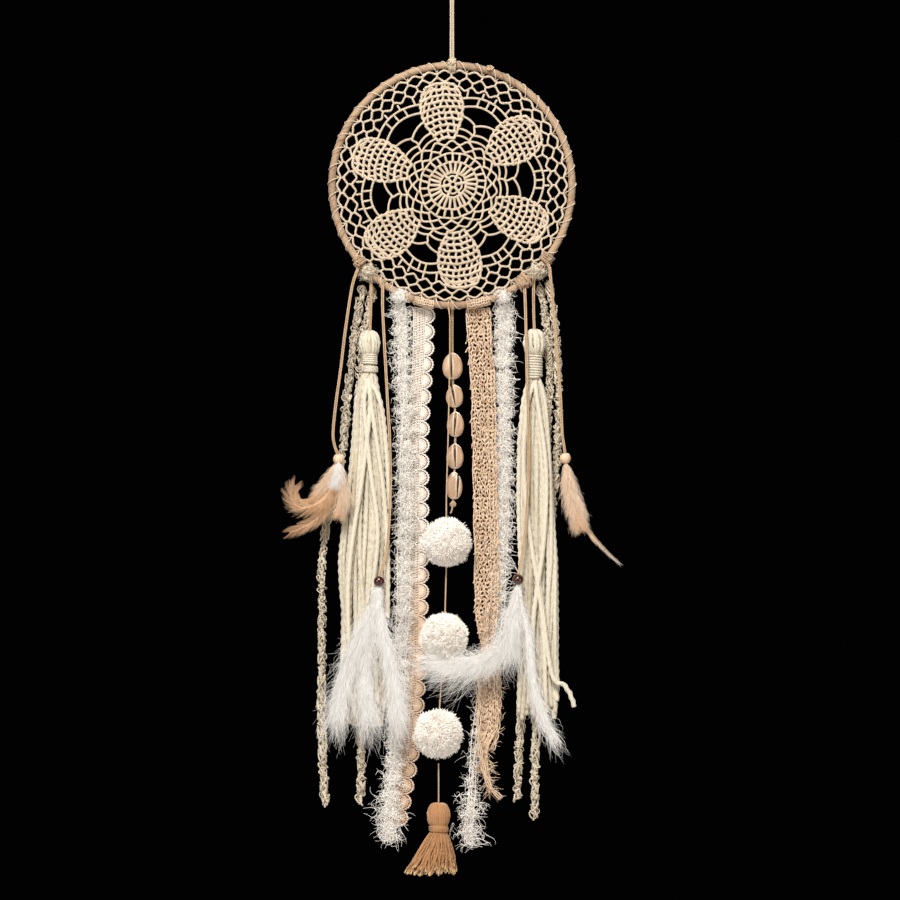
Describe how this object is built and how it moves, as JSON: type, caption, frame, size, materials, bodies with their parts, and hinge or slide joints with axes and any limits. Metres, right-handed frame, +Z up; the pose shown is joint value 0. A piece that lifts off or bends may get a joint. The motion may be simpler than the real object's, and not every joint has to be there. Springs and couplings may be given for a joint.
{
  "type": "dream catcher",
  "caption": "Hanging round hoop with a crocheted web, and below it a fringe of tassels, yarns, lace, shells, pompoms, beads and feathers.",
  "frame": {"origin": "top inside of the hanging loop, where it bears on its hook", "axes": "+Z up, along the hanging cord; -Y towards the viewer, square to the hoop; +X to the viewer's right"},
  "size_m": [0.268, 0.0425, 0.7399],
  "materials": {
    "hanging_cord": "cream cotton cord, matt, twisted",
    "ring_metal": "plain steel wire",
    "hoop_thread": "tan cotton thread, matt, wound on the ring",
    "web_thread": "cream crochet cotton, matt",
    "strand_cord": "tan twisted cotton cord, matt",
    "pale_wood": "sanded pale wood, satin",
    "dark_wood": "dark reddish-brown bead, glossy",
    "brown_plume": "tan to brown feather down and vanes",
    "white_plume": "cool white marabou down",
    "boucle": "off-white curly boucle yarn",
    "tassel_yarn": "ivory soft yarn with a slight sheen",
    "eyelash": "silvery white fringed ribbon yarn",
    "cotton_lace": "off-white scalloped cotton lace",
    "tan_lace": "tan crocheted cotton ribbon",
    "shell": "pinkish beige sea shell, glossy",
    "pompom_wool": "white to cream fluffy wool",
    "small_tassel_cotton": "tan cotton thread, matt"
  },
  "bodies": {
    "hook_loop": {"hang_loop": "hanging_cord"},
    "loop_knot": {"hang_knot": "hanging_cord"},
    "hanging_cord": {"hang_cord": "hanging_cord"},
    "hoop": {"hoop_ring": "ring_metal", "hoop_wrap": "hoop_thread", "hoop_knot": "hanging_cord", "doily": "web_thread", "web_lacing": "web_thread", "feather_left_knot": "hoop_thread", "feather_right_knot": "hoop_thread", "boucle_left_knot": "boucle", "boucle_right_knot": "boucle", "eyelash_left_knot": "eyelash", "eyelash_right_knot": "eyelash", "marabou_right_knot": "hoop_thread"},
    "feather_left": {"feather_left_cord": "strand_cord", "feather_left_bead": "pale_wood", "feather_left_plumes": "brown_plume"},
    "feather_right": {"feather_right_cord": "strand_cord", "feather_right_bead": "pale_wood", "feather_right_plumes": "brown_plume"},
    "tassel_left": {"tassel_left_cord": "strand_cord", "tassel_left_head": "tassel_yarn", "tassel_left_wrap": "tassel_yarn", "tassel_left_skirt": "tassel_yarn"},
    "tassel_right": {"tassel_right_cord": "strand_cord", "tassel_right_head": "tassel_yarn", "tassel_right_wrap": "tassel_yarn", "tassel_right_skirt": "tassel_yarn"},
    "boucle_left": {"boucle_left_long": "boucle", "boucle_left_short": "boucle"},
    "boucle_right": {"boucle_right_long": "boucle", "boucle_right_short": "boucle"},
    "marabou_left": {"marabou_left_cord": "strand_cord", "marabou_left_bead": "dark_wood", "marabou_left_plumes": "white_plume"},
    "marabou_right": {"marabou_right_cord": "strand_cord", "marabou_right_bead": "dark_wood", "marabou_right_plumes": "white_plume"},
    "eyelash_left": {"eyelash_left_yarn": "eyelash"},
    "eyelash_right": {"eyelash_right_yarn": "eyelash"},
    "lace": {"scalloped_lace": "cotton_lace"},
    "crochet": {"crochet_ribbon": "tan_lace"},
    "cowries": {"cowrie_cord": "strand_cord", "cowrie_1": "shell", "cowrie_2": "shell", "cowrie_3": "shell", "cowrie_4": "shell", "cowrie_5": "shell", "cowrie_knot": "strand_cord"},
    "pompoms": {"pompom_cord": "strand_cord", "pompom_1": "pompom_wool", "pompom_2": "pompom_wool", "pompom_3": "pompom_wool"},
    "small_tassel": {"small_tassel_cord": "strand_cord", "small_tassel_head": "small_tassel_cotton", "small_tassel_wrap": "small_tassel_cotton", "small_tassel_skirt": "small_tassel_cotton"}
  },
  "joints": [
    {"name": "hang_swing", "type": "hinge", "parent": "hook_loop", "child": "loop_knot", "pos_m": [0, 0, 0], "axis": [1, 0, 0], "range_deg": [-20, 20]},
    {"name": "hang_sway", "type": "hinge", "parent": "loop_knot", "child": "hanging_cord", "pos_m": [0, 0, 0], "axis": [0, 1, 0], "range_deg": [-20, 20]},
    {"name": "hoop_twist", "type": "hinge", "parent": "hanging_cord", "child": "hoop", "pos_m": [0, 0, -0.0805], "axis": [0, 0, 1], "range_deg": [-90, 90]},
    {"name": "feather_left_swing", "type": "hinge", "parent": "hoop", "child": "feather_left", "pos_m": [-0.077, -0.009, -0.253], "axis": [-1, 0, 0], "range_deg": [0, 35]},
    {"name": "feather_right_swing", "type": "hinge", "parent": "hoop", "child": "feather_right", "pos_m": [0.079, -0.009, -0.25], "axis": [-1, 0, 0], "range_deg": [0, 35]},
    {"name": "tassel_left_swing", "type": "hinge", "parent": "hoop", "child": "tassel_left", "pos_m": [-0.0656, 0, -0.261], "axis": [1, 0, 0], "range_deg": [0, 25]},
    {"name": "boucle_left_swing", "type": "hinge", "parent": "hoop", "child": "boucle_left", "pos_m": [-0.068, 0, -0.261], "axis": [1, 0, 0], "range_deg": [0, 25]},
    {"name": "tassel_right_swing", "type": "hinge", "parent": "hoop", "child": "tassel_right", "pos_m": [0.0661, 0, -0.261], "axis": [1, 0, 0], "range_deg": [0, 25]},
    {"name": "boucle_right_swing", "type": "hinge", "parent": "hoop", "child": "boucle_right", "pos_m": [0.072, 0, -0.261], "axis": [1, 0, 0], "range_deg": [0, 25]},
    {"name": "marabou_left_swing", "type": "hinge", "parent": "hoop", "child": "marabou_left", "pos_m": [-0.056, -0.0135, -0.268], "axis": [-1, 0, 0], "range_deg": [0, 35]},
    {"name": "marabou_right_swing", "type": "hinge", "parent": "hoop", "child": "marabou_right", "pos_m": [0.059, -0.0135, -0.269], "axis": [-1, 0, 0], "range_deg": [0, 35]},
    {"name": "eyelash_left_swing", "type": "hinge", "parent": "hoop", "child": "eyelash_left", "pos_m": [-0.042, 0.0145, -0.2815], "axis": [1, 0, 0], "range_deg": [0, 25]},
    {"name": "lace_swing", "type": "hinge", "parent": "hoop", "child": "lace", "pos_m": [-0.0225, 0.0145, -0.2815], "axis": [1, 0, 0], "range_deg": [0, 25]},
    {"name": "crochet_swing", "type": "hinge", "parent": "hoop", "child": "crochet", "pos_m": [0.021, 0.004, -0.28], "axis": [1, 0, 0], "range_deg": [0, 25]},
    {"name": "eyelash_right_swing", "type": "hinge", "parent": "hoop", "child": "eyelash_right", "pos_m": [0.043, 0.01, -0.279], "axis": [1, 0, 0], "range_deg": [0, 25]},
    {"name": "cowrie_swing", "type": "hinge", "parent": "hoop", "child": "cowries", "pos_m": [0.0004, 0.0045, -0.286], "axis": [1, 0, 0], "range_deg": [0, 35]},
    {"name": "pompom_swing", "type": "hinge", "parent": "hoop", "child": "pompoms", "pos_m": [-0.0016, -0.006, -0.288], "axis": [-1, 0, 0], "range_deg": [0, 35]},
    {"name": "small_tassel_swing", "type": "hinge", "parent": "pompoms", "child": "small_tassel", "pos_m": [-0.0109, -0.006, -0.6495], "axis": [1, 0, 0], "range_deg": [-25, 25]}
  ],
  "couplings": [
    {"joint": "boucle_left_swing", "follows": "tassel_left_swing", "ratio": 1},
    {"joint": "boucle_right_swing", "follows": "tassel_right_swing", "ratio": 1},
    {"joint": "eyelash_right_swing", "follows": "crochet_swing", "ratio": 1},
    {"joint": "eyelash_left_swing", "follows": "lace_swing", "ratio": 1}
  ]
}
